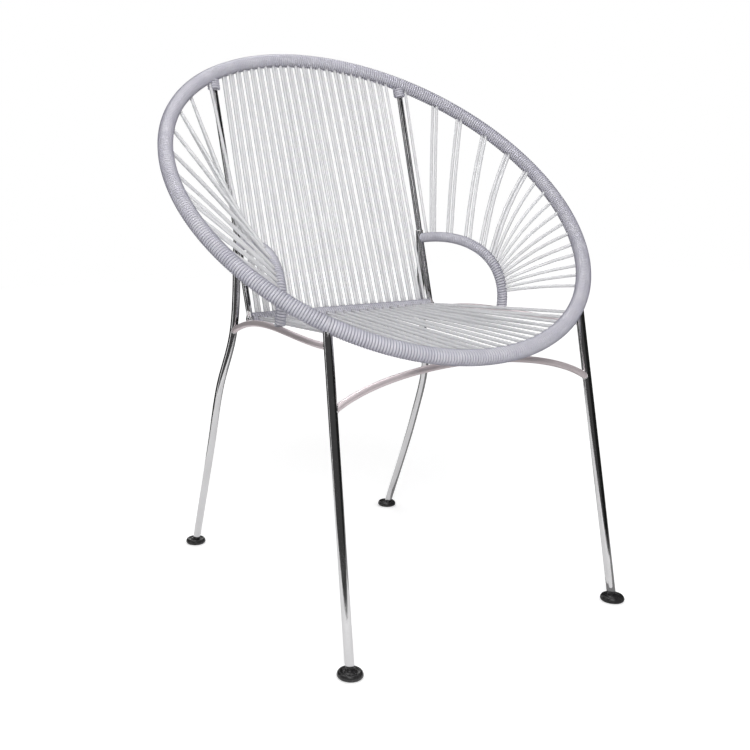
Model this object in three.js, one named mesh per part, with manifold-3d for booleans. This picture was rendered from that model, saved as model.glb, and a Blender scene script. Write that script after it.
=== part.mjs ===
// A round-backed lounge chair for a patio: a tilted hoop on four splayed legs, strung with cord.
// Millimetres, +Z up. The sitter faces -Y and the right side, seen from the front, is +X.
// The origin is on the floor, in the middle of the chair's footprint.
import * as THREE from "three";
import { mergeVertices } from "three/addons/utils/BufferGeometryUtils.js";
import Module from "manifold-3d";

const wasm = await Module();
wasm.setup();

// Overall size
const OVERALL_WIDTH = 711.2;
const OVERALL_DEPTH = 584.2;
const OVERALL_HEIGHT = 863.6;

// Rod and cord sizes
const FRAME_ROD = 12.7;
const BRACE_ROD = 10;
const ARCH_ROD = 6.4;
const CORD = 5.4;
const FIT_GAP = 0.3;

// Hoop: its tilt is measured from the floor, and it is drawn in equal steps counted from its top
const HOOP_TILT_DEG = 41.8;
const HOOP_CENTRE_Y = -10;
const HOOP_STEPS = 88;
const POST_STEP = 8;
const SEAT_STEP = 35;

// Rear seat bar
const REAR_BAR = { halfSpan: 179, y: 98, z: 422, overhang: 5.5 };

// Foot glides: their outline is in shares of half the width and of the height, from the floor up
const GLIDE = { width: 35, height: 9, floor: 3 };
const GLIDE_OUTLINE_SHARES = [
  [0, 0],
  [0.8, 0],
  [1, 0.35],
  [0.95, 0.72],
  [0.8, 1],
  [0.55, 0.82],
  [0, 0.82],
];

// Legs
const FRONT_LEG = { footX: 235, hoopX: 222, sideBarShare: 0.936, crossbarShare: 0.75 };
const BACK_LEG = {
  footX: 209,
  midX: 212,
  midY: 189,
  midZ: 200,
  kneeX: 210,
  kneeY: 153,
  kneeZ: 305,
  braceX: 190.5,
  braceY: 137,
  braceZ: 399,
  topY: 133.5,
};

// Pulls of the bent bars: the handles that bend each bar away from its straight line. The crossbar's
// middle rises by a share of what its pulls rise by, up to a gap under the seat's lower strands.
const SIDE_BAR = { rearRise: 40.3, frontRise: -0.4, rearPullShare: 1 / 3, frontPullShare: 2 / 3 };
const CROSSBAR = { pullX: 130, seatGap: 5.4, riseShare: 3 / 4 };
const ARCH = {
  postZ: 538,
  landingY: -51,
  rearPullX: 187,
  rearPullY: 20,
  rearPullZ: 552,
  frontPullX: 205,
  frontPullY: -75,
  frontPullZ: 520,
};

// Stringing: how many strands each panel has, and where the outer ones lie
const BACK_STRANDS = 43;
const SEAT_STRANDS = 43;
const PANEL_HALF_SPAN = 167;
const SEAT_STRAND_LIFT = 2;
const STRAND_ENTRY_DEG = 78;
// How far from the hoop's front the seat's strands land: most fill an even fan, two a side stand apart
const SEAT_HALF_DEG = 29.5;
const SEAT_OUTER_DEGREES = [35.2, 33.6];
// Each side has a first strand, then pairs that part towards the arch, then single strands
const FAN = {
  firstDeg: 35.6,
  pairDegrees: [45.9, 54.5, 63.9, 73.5, 82],
  pairHalfDeg: 0.58,
  pairHalfShares: [0.021, 0.022, 0.022, 0.018, 0.013],
  singleDeg: 86.8,
  singleStepDeg: 4.45,
  singles: 11,
  staggerDeg: 0.25,
};
// How far along the arch a strand lands, as a share of its length, for its angle on the hoop
const FAN_HOOP_DEGREES = [35.6, 46, 55, 64, 74, 84, 132];
const FAN_ARCH_SHARES = [0.07, 0.12, 0.28, 0.43, 0.56, 0.66, 0.88];

// Facets round each section, and steps along each bent piece
const ROD_SIDES = 8;
const WINDING_SIDES = 10;
const BORE_SIDES = 6;
const STRAND_SIDES = 5;
const GLIDE_SIDES = 20;
const LEG_BEND_STEPS = 22;
const BAR_BEND_STEPS = 14;
const CROSSBAR_BEND_STEPS = 20;
const ARCH_BEND_STEPS = 20;
const ARCH_BARE_STEPS = 1;
const SHARE_TOLERANCE = 1e-6;

// Sizes that follow from the ones above
const tilt = THREE.MathUtils.degToRad(HOOP_TILT_DEG);
const hoopWrapRadius = FRAME_ROD / 2 + FIT_GAP + CORD;
const barWrapRadius = BRACE_ROD / 2 + FIT_GAP + CORD;
const hoopRadius = OVERALL_WIDTH / 2 - hoopWrapRadius;
const hoopCentreZ = OVERALL_HEIGHT - hoopWrapRadius - hoopRadius * Math.sin(tilt);
const footY = OVERALL_DEPTH / 2 - GLIDE.width / 2;
const hoopStepAngle = (2 * Math.PI) / HOOP_STEPS;
const postAngle = POST_STEP * hoopStepAngle;
const seatAngle = SEAT_STEP * hoopStepAngle;
const gapAngle = FIT_GAP / 2 / hoopRadius;
const strandRadius = CORD / 2;
const sittingSide = new THREE.Vector3(0, -Math.sin(tilt), Math.cos(tilt));

const vec = (x, y, z) => new THREE.Vector3(x, y, z);
const mirrored = (point, side) => vec(point.x * side, point.y, point.z);

const onRearBar = (x) => vec(x, REAR_BAR.y, REAR_BAR.z);
const rearBarEnd = REAR_BAR.halfSpan + REAR_BAR.overhang;

// A point on the hoop's middle line, by its angle from the top of the back
function hoopPoint(angle) {
  const up = hoopRadius * Math.cos(angle);
  return vec(
    hoopRadius * Math.sin(angle),
    HOOP_CENTRE_Y + up * Math.cos(tilt),
    hoopCentreZ + up * Math.sin(tilt),
  );
}

// The way out from the hoop's centre at an angle
function hoopOutward(angle) {
  const up = Math.cos(angle);
  return vec(Math.sin(angle), up * Math.cos(tilt), up * Math.sin(tilt));
}

// A stretch of the hoop. Its sections stand on the hoop's own radius, so that one corner of each
// section points straight out.
class HoopArc extends THREE.Curve {
  constructor(from, to) {
    super();
    this.from = from;
    this.to = to;
  }
  angleAt(t) {
    return THREE.MathUtils.lerp(this.from, this.to, t);
  }
  getPoint(t) {
    return hoopPoint(this.angleAt(t));
  }
  getPointAt(t) {
    return this.getPoint(t);
  }
  computeFrenetFrames(steps) {
    const shares = Array.from({ length: steps + 1 }, (_, i) => i / steps);
    const normals = shares.map((t) => hoopOutward(this.angleAt(t)));
    const binormals = shares.map(() => sittingSide.clone());
    const tangents = normals.map((n, i) => n.clone().cross(binormals[i]));
    return { tangents, normals, binormals };
  }
}

// A stretch of another curve, between two shares of its length
class Stretch extends THREE.Curve {
  constructor(curve, from, to) {
    super();
    this.curve = curve;
    this.from = from;
    this.to = to;
  }
  getPoint(t) {
    return this.curve.getPointAt(THREE.MathUtils.lerp(this.from, this.to, t));
  }
  getPointAt(t) {
    return this.getPoint(t);
  }
}

// Geometry to solid and back
function solidOf(geometry) {
  const bare = geometry.index ? geometry.toNonIndexed() : geometry.clone();
  bare.deleteAttribute("normal");
  bare.deleteAttribute("uv");
  const merged = mergeVertices(bare);
  return new wasm.Manifold(
    new wasm.Mesh({
      numProp: 3,
      vertProperties: merged.attributes.position.array,
      triVerts: new Uint32Array(merged.index.array),
    }),
  );
}

function geometryOf(solid) {
  const mesh = solid.getMesh();
  const indexed = new THREE.BufferGeometry();
  indexed.setAttribute("position", new THREE.BufferAttribute(mesh.vertProperties, 3));
  indexed.setIndex(new THREE.BufferAttribute(mesh.triVerts, 1));
  const flat = indexed.toNonIndexed();
  flat.computeVertexNormals();
  return flat;
}

const join = (solids) => wasm.Manifold.union(solids);
const cut = (solid, tools) => tools.reduce((left, tool) => left.subtract(tool), solid);

// A many-sided disc with its corners on the radius
function disc(radius, sides) {
  const corners = Array.from({ length: sides }, (_, i) => {
    const angle = (2 * Math.PI * i) / sides;
    return new THREE.Vector2(radius * Math.cos(angle), radius * Math.sin(angle));
  });
  return new THREE.Shape(corners);
}

// A bent round bar along a curve
function bentBar(curve, radius, sides, steps) {
  const options = { extrudePath: curve, steps, bevelEnabled: false };
  return solidOf(new THREE.ExtrudeGeometry(disc(radius, sides), options));
}

// A winding along a curve: a tube whose bore clears the rod that it is wound on
function winding(curve, rodRadius, steps) {
  const flatsToCorners = Math.cos(Math.PI / BORE_SIDES);
  const profile = disc(rodRadius + FIT_GAP + CORD, WINDING_SIDES);
  profile.holes.push(disc((rodRadius + FIT_GAP) / flatsToCorners, BORE_SIDES));
  const options = { extrudePath: curve, steps, bevelEnabled: false };
  return solidOf(new THREE.ExtrudeGeometry(profile, options));
}

// A straight round bar from one point to another
function straightBar(from, to, radius, sides) {
  const axis = to.clone().sub(from);
  const bar = new THREE.CylinderGeometry(radius, radius, axis.length(), sides);
  const turn = new THREE.Quaternion().setFromUnitVectors(vec(0, 1, 0), axis.clone().normalize());
  bar.applyQuaternion(turn);
  const middle = from.clone().add(to).multiplyScalar(0.5);
  bar.translate(middle.x, middle.y, middle.z);
  return solidOf(bar);
}

// Middle lines of the frame's rods, for the side of the sign given
function postLine(side) {
  return {
    top: mirrored(hoopPoint(postAngle), side),
    bottom: onRearBar(side * REAR_BAR.halfSpan),
  };
}

function pointAtHeight(line, z) {
  return line.bottom.clone().lerp(line.top, (z - line.bottom.z) / (line.top.z - line.bottom.z));
}

function frontLegLine(side) {
  const angle = Math.PI - Math.asin(FRONT_LEG.hoopX / hoopRadius);
  const top = mirrored(hoopPoint(angle), side);
  const ground = vec(side * FRONT_LEG.footX, -footY, 0);
  const bottom = ground.clone().lerp(top, GLIDE.floor / top.z);
  return { top, bottom, ground };
}

function backLegCurve(side) {
  const post = postLine(side);
  const share = (BACK_LEG.topY - post.bottom.y) / (post.top.y - post.bottom.y);
  const top = post.bottom.clone().lerp(post.top, share);
  const mid = vec(side * BACK_LEG.midX, BACK_LEG.midY, BACK_LEG.midZ);
  const ground = vec(side * BACK_LEG.footX, footY, 0);
  const bottom = ground.clone().lerp(mid, GLIDE.floor / mid.z);
  return new THREE.CatmullRomCurve3([
    bottom,
    mid,
    vec(side * BACK_LEG.kneeX, BACK_LEG.kneeY, BACK_LEG.kneeZ),
    vec(side * BACK_LEG.braceX, BACK_LEG.braceY, BACK_LEG.braceZ),
    top,
  ]);
}

function sideBarCurve(side) {
  const rear = vec(side * BACK_LEG.braceX, BACK_LEG.braceY, BACK_LEG.braceZ);
  const leg = frontLegLine(side);
  const front = leg.ground.clone().lerp(leg.top, FRONT_LEG.sideBarShare);
  const rearPull = rear.clone().lerp(front, SIDE_BAR.rearPullShare);
  const frontPull = rear.clone().lerp(front, SIDE_BAR.frontPullShare);
  rearPull.z += SIDE_BAR.rearRise;
  frontPull.z += SIDE_BAR.frontRise;
  return new THREE.CubicBezierCurve3(rear, rearPull, frontPull, front);
}

// The share of a curve at which it reaches a depth, where its depth only falls
function shareAtDepth(curve, y) {
  let low = 0;
  let high = 1;
  while (high - low > SHARE_TOLERANCE) {
    const middle = (low + high) / 2;
    if (curve.getPoint(middle).y > y) low = middle;
    else high = middle;
  }
  return low;
}

function archCurve(side) {
  const bar = sideBarCurve(side);
  return new THREE.CubicBezierCurve3(
    pointAtHeight(postLine(side), ARCH.postZ),
    vec(side * ARCH.rearPullX, ARCH.rearPullY, ARCH.rearPullZ),
    vec(side * ARCH.frontPullX, ARCH.frontPullY, ARCH.frontPullZ),
    bar.getPoint(shareAtDepth(bar, ARCH.landingY)),
  );
}

// The height of the seat's lower strands, on their underside, at a depth
function seatUnderside(y) {
  const front = hoopPoint(Math.PI);
  const share = (REAR_BAR.y - y) / (REAR_BAR.y - front.y);
  const middle = THREE.MathUtils.lerp(REAR_BAR.z, front.z, share);
  const drop = THREE.MathUtils.lerp(SEAT_STRAND_LIFT, hoopOffset * Math.cos(entryAngle), share);
  return middle - drop - strandRadius;
}

function crossbarCurve() {
  const [left, right] = [-1, 1].map((side) => {
    const { ground, top } = frontLegLine(side);
    return ground.clone().lerp(top, FRONT_LEG.crossbarShare);
  });
  const middleZ = seatUnderside(left.y) - CROSSBAR.seatGap - braceRadius;
  const pullZ = left.z + (middleZ - left.z) / CROSSBAR.riseShare;
  return new THREE.CubicBezierCurve3(
    left,
    vec(-CROSSBAR.pullX, left.y, pullZ),
    vec(CROSSBAR.pullX, right.y, pullZ),
    right,
  );
}

// Rods as solids. A grown rod, with a gap added all round, cuts the seat of the rod in its neighbour.
const frameRadius = FRAME_ROD / 2;
const braceRadius = BRACE_ROD / 2;
const archRadius = ARCH_ROD / 2;

function hoopRing(grow = 0) {
  const ring = new THREE.TorusGeometry(hoopRadius, frameRadius + grow, ROD_SIDES, HOOP_STEPS);
  ring.rotateX(tilt);
  ring.translate(0, HOOP_CENTRE_Y, hoopCentreZ);
  return solidOf(ring);
}

function postBar(side, grow = 0) {
  const { top, bottom } = postLine(side);
  const start = bottom.clone().lerp(top, braceRadius / 2 / bottom.distanceTo(top));
  return straightBar(start, top, braceRadius + grow, ROD_SIDES);
}

function rearBar(grow = 0) {
  const end = rearBarEnd + grow;
  return straightBar(onRearBar(-end), onRearBar(end), braceRadius + grow, ROD_SIDES);
}

function frontLegBar(side, grow = 0) {
  const { top, bottom } = frontLegLine(side);
  const start = bottom.clone().lerp(top, -grow / bottom.distanceTo(top));
  return straightBar(start, top, frameRadius + grow, ROD_SIDES);
}

function backLegBar(side, grow = 0) {
  const curve = backLegCurve(side);
  curve.points[0].lerp(curve.points[1], -grow / curve.points[0].distanceTo(curve.points[1]));
  return bentBar(curve, frameRadius + grow, ROD_SIDES, LEG_BEND_STEPS);
}

const sideBarBar = (side, grow = 0) =>
  bentBar(sideBarCurve(side), braceRadius + grow, ROD_SIDES, BAR_BEND_STEPS);
const archBar = (side) => bentBar(archCurve(side), archRadius, ROD_SIDES, ARCH_BEND_STEPS);
const crossbarBar = () =>
  bentBar(crossbarCurve(), braceRadius, ROD_SIDES, CROSSBAR_BEND_STEPS);

// A foot glide: a dished button with a flat base and a socket for the leg
function glideSolid(legBar, x, y) {
  const outline = GLIDE_OUTLINE_SHARES.map(
    ([out, up]) => new THREE.Vector2((out * GLIDE.width) / 2, up * GLIDE.height),
  );
  const button = new THREE.LatheGeometry(outline, GLIDE_SIDES);
  button.rotateX(Math.PI / 2);
  button.translate(x, y, 0);
  return cut(solidOf(button), [legBar]);
}

const hoopOffset = frameRadius + FIT_GAP + strandRadius;
const barOffset = braceRadius + FIT_GAP + strandRadius;
const archOffset = archRadius + FIT_GAP + strandRadius;
const entryAngle = THREE.MathUtils.degToRad(STRAND_ENTRY_DEG);
const across = vec(1, 0, 0);
const hoopTangent = (angle) => hoopOutward(angle).cross(sittingSide);

// Where a strand ends on a wound rod. It lies on one face of its panel, dives into the winding at
// the entry angle and ends in the middle of the wall. The offset is its distance from the rod's axis.
function anchor(onRod, rodTangent, far, offset, face) {
  const along = far.clone().sub(onRod).normalize();
  const facing = along.clone().cross(rodTangent);
  const skew = facing.length();
  facing.divideScalar(skew);
  if (facing.dot(sittingSide) < 0) facing.negate();
  const end = onRod.clone().addScaledVector(facing, face * offset * Math.cos(entryAngle));
  return end.addScaledVector(along, (offset * Math.sin(entryAngle)) / skew);
}

const strand = (start, end) => straightBar(start, end, strandRadius, STRAND_SIDES);
const faceOf = (index) => (index % 2 ? -1 : 1);
const spread = (index, count, halfSpan) => halfSpan * ((2 * index) / (count - 1) - 1);

function backCords() {
  const halfWidth = REAR_BAR.halfSpan - braceRadius - FIT_GAP - FIT_GAP;
  const barLine = new THREE.LineCurve3(onRearBar(-halfWidth), onRearBar(halfWidth));
  const edge = postAngle - gapAngle;
  const wraps = [
    winding(new HoopArc(-edge, edge), frameRadius, 2 * POST_STEP),
    winding(barLine, braceRadius, 1),
  ];
  const strands = Array.from({ length: BACK_STRANDS }, (_, i) => {
    const x = spread(i, BACK_STRANDS, PANEL_HALF_SPAN);
    const angle = Math.asin(x / hoopRadius);
    const top = hoopPoint(angle);
    const bottom = onRearBar(x);
    return strand(
      anchor(top, hoopTangent(angle), bottom, hoopOffset, faceOf(i)),
      anchor(bottom, across, top, barOffset, faceOf(i)),
    );
  });
  return join([...wraps, ...strands]);
}

// Where the seat's strands land on the hoop, from the left to the right
function seatFrontAngles() {
  const evenly = SEAT_STRANDS - 2 * SEAT_OUTER_DEGREES.length;
  const even = Array.from({ length: evenly }, (_, i) => spread(i, evenly, SEAT_HALF_DEG));
  const left = SEAT_OUTER_DEGREES.map((degrees) => -degrees);
  const right = [...SEAT_OUTER_DEGREES].reverse();
  return [...left, ...even, ...right].map((degrees) => Math.PI - THREE.MathUtils.degToRad(degrees));
}

function seatCords() {
  const arc = new HoopArc(seatAngle + gapAngle, 2 * Math.PI - seatAngle - gapAngle);
  const wrap = winding(arc, frameRadius, HOOP_STEPS - 2 * SEAT_STEP);
  const strands = seatFrontAngles().map((frontAngle, i) => {
    const x = spread(i, SEAT_STRANDS, PANEL_HALF_SPAN);
    const front = hoopPoint(frontAngle);
    const rear = onRearBar(x);
    const lifted = rear.clone().setZ(REAR_BAR.z + faceOf(i) * SEAT_STRAND_LIFT);
    return strand(anchor(front, hoopTangent(frontAngle), rear, hoopOffset, faceOf(i)), lifted);
  });
  const [left, right] = [-rearBarEnd, rearBarEnd].map(onRearBar);
  const rearSeat = straightBar(left, right, barWrapRadius + FIT_GAP, WINDING_SIDES);
  return cut(join([wrap, ...strands]), [rearSeat]);
}

// Straight-line reading of a table of matching values
function readTable(keys, values, key) {
  const above = Math.max(1, keys.findIndex((k) => k >= key));
  const share = (key - keys[above - 1]) / (keys[above] - keys[above - 1]);
  return THREE.MathUtils.lerp(values[above - 1], values[above], share);
}

// The strands of a side fan from back to front: angle on the hoop and share of the arch
function fanStrands() {
  const pairs = FAN.pairDegrees.flatMap((degrees, pair) =>
    [-1, 1].map((way) => ({
      degrees,
      aside: way * FAN.pairHalfDeg,
      shareAside: way * FAN.pairHalfShares[pair],
    })),
  );
  const singles = Array.from({ length: FAN.singles }, (_, i) => ({
    degrees: FAN.singleDeg + FAN.singleStepDeg * i,
    aside: i % 2 ? FAN.staggerDeg : -FAN.staggerDeg,
    shareAside: 0,
  }));
  const first = { degrees: FAN.firstDeg, aside: 0, shareAside: 0 };
  return [first, ...pairs, ...singles].map(({ degrees, aside, shareAside }) => ({
    angle: THREE.MathUtils.degToRad(degrees + aside),
    share: readTable(FAN_HOOP_DEGREES, FAN_ARCH_SHARES, degrees) + shareAside,
  }));
}

function sideCords(side) {
  const arch = archCurve(side);
  const bareShare = ARCH_BARE_STEPS / ARCH_BEND_STEPS;
  const wrapped = new Stretch(arch, bareShare, 1 - bareShare);
  const steps = SEAT_STEP - POST_STEP;
  const arc =
    side > 0
      ? new HoopArc(postAngle + gapAngle, seatAngle - gapAngle)
      : new HoopArc(2 * Math.PI - seatAngle + gapAngle, 2 * Math.PI - postAngle - gapAngle);
  const wraps = [
    winding(arc, frameRadius, steps),
    winding(wrapped, archRadius, ARCH_BEND_STEPS - 2 * ARCH_BARE_STEPS),
  ];
  const strands = fanStrands().map(({ angle, share }, i) => {
    const outer = mirrored(hoopPoint(angle), side);
    const inner = arch.getPointAt(share);
    return strand(
      anchor(outer, hoopTangent(side * angle), inner, hoopOffset, faceOf(i)),
      anchor(inner, arch.getTangentAt(share), outer, archOffset, faceOf(i)),
    );
  });
  return join([...wraps, ...strands]);
}

// Finishes
const finish = (color, metalness, roughness, extra = {}) =>
  new THREE.MeshStandardMaterial({ color, metalness, roughness, ...extra });
const chrome = () => finish(0xd8d8dc, 1, 0.12);
const clearCord = () => finish(0xe9eaf0, 0, 0.3);
const blackPlastic = () => finish(0x141416, 0, 0.25);

const chair = new THREE.Group();

function add(name, solid, material) {
  const mesh = new THREE.Mesh(geometryOf(solid), material);
  mesh.name = name;
  chair.add(mesh);
}

add("hoop_rod", hoopRing(), chrome());
add("rear_seat_bar", rearBar(), chrome());
add("front_crossbar", cut(crossbarBar(), [-1, 1].map((s) => frontLegBar(s, FIT_GAP))), chrome());
add("back_cords", cut(backCords(), [-1, 1].map((s) => postBar(s, FIT_GAP))), clearCord());
add("seat_cords", seatCords(), clearCord());

for (const [word, side] of [
  ["left", -1],
  ["right", 1],
]) {
  const frontLeg = frontLegBar(side, FIT_GAP);
  const backLeg = backLegBar(side, FIT_GAP);
  const post = postBar(side, FIT_GAP);
  const sideBar = sideBarBar(side, FIT_GAP);
  const hoop = hoopRing(FIT_GAP);
  add(`back_post_${word}`, cut(postBar(side), [hoop, rearBar(FIT_GAP)]), chrome());
  add(`front_leg_${word}`, cut(frontLegBar(side), [hoop]), chrome());
  add(`back_leg_${word}`, cut(backLegBar(side), [post]), chrome());
  add(`side_bar_${word}`, cut(sideBarBar(side), [frontLeg, backLeg]), chrome());
  add(`side_arch_${word}`, cut(archBar(side), [post, sideBar]), chrome());
  add(`side_cords_${word}`, cut(sideCords(side), [frontLeg, post]), clearCord());
  add(`front_glide_${word}`, glideSolid(frontLeg, side * FRONT_LEG.footX, -footY), blackPlastic());
  add(`back_glide_${word}`, glideSolid(backLeg, side * BACK_LEG.footX, footY), blackPlastic());
}

export default chair;
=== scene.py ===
"""The looks of a round-backed patio chair: plated rods, laced clear cord and dished foot glides.

Every length is in metres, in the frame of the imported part: +Z is up, the sitter faces -Y, and the
chair's right side, seen from the front, is +X. Angles on the hoop are counted from its top at the
back, towards the right.
"""

from __future__ import annotations

import logging
import math
from dataclasses import dataclass
from enum import Enum

import bpy
import numpy as np
from mathutils import Matrix, Vector

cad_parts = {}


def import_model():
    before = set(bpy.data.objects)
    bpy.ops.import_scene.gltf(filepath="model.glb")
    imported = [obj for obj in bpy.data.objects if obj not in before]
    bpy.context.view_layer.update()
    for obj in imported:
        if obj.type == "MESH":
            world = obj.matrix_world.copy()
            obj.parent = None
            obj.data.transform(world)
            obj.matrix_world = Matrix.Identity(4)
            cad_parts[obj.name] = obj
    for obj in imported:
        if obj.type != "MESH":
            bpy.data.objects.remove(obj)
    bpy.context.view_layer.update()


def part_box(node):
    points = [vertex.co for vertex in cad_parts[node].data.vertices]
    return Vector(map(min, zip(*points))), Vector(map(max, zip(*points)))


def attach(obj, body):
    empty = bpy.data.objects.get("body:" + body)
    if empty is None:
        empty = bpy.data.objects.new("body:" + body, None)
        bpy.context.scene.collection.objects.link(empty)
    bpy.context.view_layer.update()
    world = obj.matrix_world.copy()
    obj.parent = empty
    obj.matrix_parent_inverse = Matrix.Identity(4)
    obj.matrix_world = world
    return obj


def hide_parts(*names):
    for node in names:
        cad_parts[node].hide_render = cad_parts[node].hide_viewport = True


Array = np.ndarray
Material = bpy.types.Material
Node = bpy.types.Node
Socket = bpy.types.NodeSocket

LOG = logging.getLogger("chair")
BODY = "root"
RANDOM_SEED = 34

X_AXIS, Y_AXIS, Z_AXIS = np.eye(3)
MIRROR = np.array([-1, 1, 1])
MIDDLE_PLANE = np.array([0, 1, 1])
FLOOR_PLANE = np.array([1, 1, 0])
WHITE = (1, 1, 1, 1)

# How finely the middle lines are divided: those that cord is wound on, and the bare ones
HOOP_READINGS = 3601
REAR_BAR_READINGS = 41
ARCH_READINGS = 401
ARCH_THINNING = 8
BEND_POINTS = 161
SPAN_POINTS = 24
POST_POINTS = 13
LEG_POINTS = 25
HOOP_STEPS = 240

# Faces round each kind of tube, and the height of the cone on its end as a share of its radius
HOOP_SIDES = 16
ROD_SIDES = 24
CORD_SIDES = 8
BEAD_SIDES = 10
GLIDE_SIDES = 48
CONE_SHARE = 0.35

# The Mix node's sockets for colours, which share their names with its others
MIX_FROM, MIX_TO, MIX_RESULT = 6, 7, 2


class Side(Enum):
    """The two halves of the chair, by the sign of X."""

    LEFT = -1
    RIGHT = 1

    @property
    def word(self) -> str:
        """The word that ends the names of this side's pieces."""
        return self.name.lower()


class Slot(Enum):
    """The record's material slots."""

    ROD = "chrome_rod"
    CORD = "clear_cord"
    GLIDE = "black_glide"


@dataclass(frozen=True)
class Stock:
    """Radii of the rod and cord that the chair is made of.

    Attributes:
        frame: radius of the hoop and the legs.
        brace: radius of the posts and bars.
        arch: radius of the side arches.
        cord: radius of the clear cord.
        clearance: air between a rod and the cord wound on it.
    """

    frame: float = 0.00635
    brace: float = 0.005
    arch: float = 0.0032
    cord: float = 0.0026
    clearance: float = 0.0002


STOCK = Stock()


def unit(vectors: Array) -> Array:
    """Vectors scaled to length one along the last axis."""
    return vectors / np.linalg.norm(vectors, axis=-1, keepdims=True)


def dot(a: Array, b: Array) -> Array:
    """Dot products along the last axis, which is kept."""
    return np.sum(a * b, axis=-1, keepdims=True)


def full_turn(count: int) -> Array:
    """Evenly spaced angles once round."""
    return np.linspace(0, 2 * np.pi, count, endpoint=False)


def run_lengths(points: Array) -> Array:
    """How far along its line each point is: the steps up to it added up, from 0 at the first."""
    steps = np.linalg.norm(np.diff(points, axis=-2), axis=-1)
    return np.concatenate([0 * steps[..., :1], np.cumsum(steps, axis=-1)], axis=-1)


def way(line: Array, first: int = 0, last: int = -1) -> Array:
    """The way from one point of a line to another."""
    return line[last] - line[first]


def bezier(handles: Array, count: int = BEND_POINTS) -> Array:
    """Points of a cubic curve.

    The point at share t is the four handles weighted by (1-t)^3, 3t(1-t)^2, 3t^2(1-t) and t^3.

    Args:
        handles: the start, the two pulls and the end, as a 4 by 3 array.
        count: how many points.

    Returns:
        The points, count by 3.
    """
    t = np.linspace(0, 1, count)[:, None]
    weights = np.hstack([(1 - t) ** 3, 3 * t * (1 - t) ** 2, 3 * t**2 * (1 - t), t**3])
    return weights @ handles


def flowing(knots: Array) -> Array:
    """A smooth curve through points, with knot spacing the root of their distance.

    Each span is the Catmull-Rom blend of the two knots beside it, and the end spans continue
    the line of the outer pair.

    Args:
        knots: the points that the curve passes, n by 3.

    Returns:
        The points of the curve.
    """
    ends = np.vstack([2 * knots[0] - knots[1], knots, 2 * knots[-1] - knots[-2]])
    gaps = np.sqrt(np.linalg.norm(np.diff(ends, axis=0), axis=1))
    times = np.concatenate([[0], np.cumsum(gaps)])
    spans = np.repeat(np.arange(1, len(knots)), SPAN_POINTS)
    share = np.tile(np.arange(SPAN_POINTS) / SPAN_POINTS, len(knots) - 1)
    spans, share = np.append(spans, len(knots) - 1), np.append(share, 1.0)
    now = times[spans] + share * gaps[spans]

    def blend(a: Array, b: Array, first: Array, last: Array) -> Array:
        """The straight blend of a and b as the time runs from first to last."""
        return a + (b - a) * ((now - first) / (last - first))[:, None]

    t0, t1, t2, t3 = (times[spans + shift] for shift in (-1, 0, 1, 2))
    p0, p1, p2, p3 = (ends[spans + shift] for shift in (-1, 0, 1, 2))
    low = blend(blend(p0, p1, t0, t1), blend(p1, p2, t1, t2), t0, t2)
    high = blend(blend(p1, p2, t1, t2), blend(p2, p3, t2, t3), t1, t3)
    return blend(low, high, t1, t2)


@dataclass
class Surface:
    """Vertices and four-cornered faces, gathered before they become one mesh.

    Attributes:
        vertices: n by 3.
        faces: m by 4, turning anticlockwise seen from outside.
        uvs: m by 4 by 2, metres across and along the piece.
    """

    vertices: Array
    faces: Array
    uvs: Array

    def on(self, side: Side) -> Surface:
        """Puts a surface of the right side on either side.

        Args:
            side: the side.

        Returns:
            The surface itself, or its mirror image with the faces turned out again.
        """
        if side is Side.RIGHT:
            return self
        return Surface(self.vertices * MIRROR, self.faces[:, ::-1], self.uvs[:, ::-1])

    @staticmethod
    def joined(parts: list[Surface]) -> Surface:
        """One surface that holds several.

        Args:
            parts: the surfaces to gather.

        Returns:
            Their vertices and faces in one list each, unchanged in place.
        """
        starts = np.cumsum([0] + [len(part.vertices) for part in parts[:-1]])
        faces = np.vstack([part.faces + start for part, start in zip(parts, starts)])
        vertices, uvs = map(np.vstack, zip(*[(part.vertices, part.uvs) for part in parts]))
        return Surface(vertices, faces, uvs)


def onwards(table: Array, closed: bool) -> tuple[Array, Array]:
    """The entries along the second axis, and the ones after them: in a loop, the first follows."""
    after = np.roll(table, -1, axis=1)
    return (table, after) if closed else (table[:, :-1], after[:, :-1])


def wall_faces(rings: Array, closed: bool = False) -> Array:
    """Faces between each ring and the next, from the corners' numbers by tube, ring and place."""
    here, there = onwards(rings, closed)
    return np.stack([here, np.roll(here, -1, 2), np.roll(there, -1, 2), there], -1).reshape(-1, 4)


def end_faces(tips: Array, rings: Array, is_start: bool) -> Array:
    """Faces from each tip to the ring beside it, each over two of the ring's edges.

    Args:
        tips: the tips' numbers.
        rings: the vertices' numbers, rings by corners.
        is_start: whether the tubes start there, where the faces turn the other way.

    Returns:
        The faces, m by 4.
    """
    even = np.arange(0, rings.shape[1], 2)
    corners = [rings[:, (even + step) % rings.shape[1]] for step in (0, 1, 2)]
    tip = np.broadcast_to(tips[:, None], corners[0].shape)
    return np.stack([tip, *(corners[::-1] if is_start else corners)], axis=-1).reshape(-1, 4)


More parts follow.
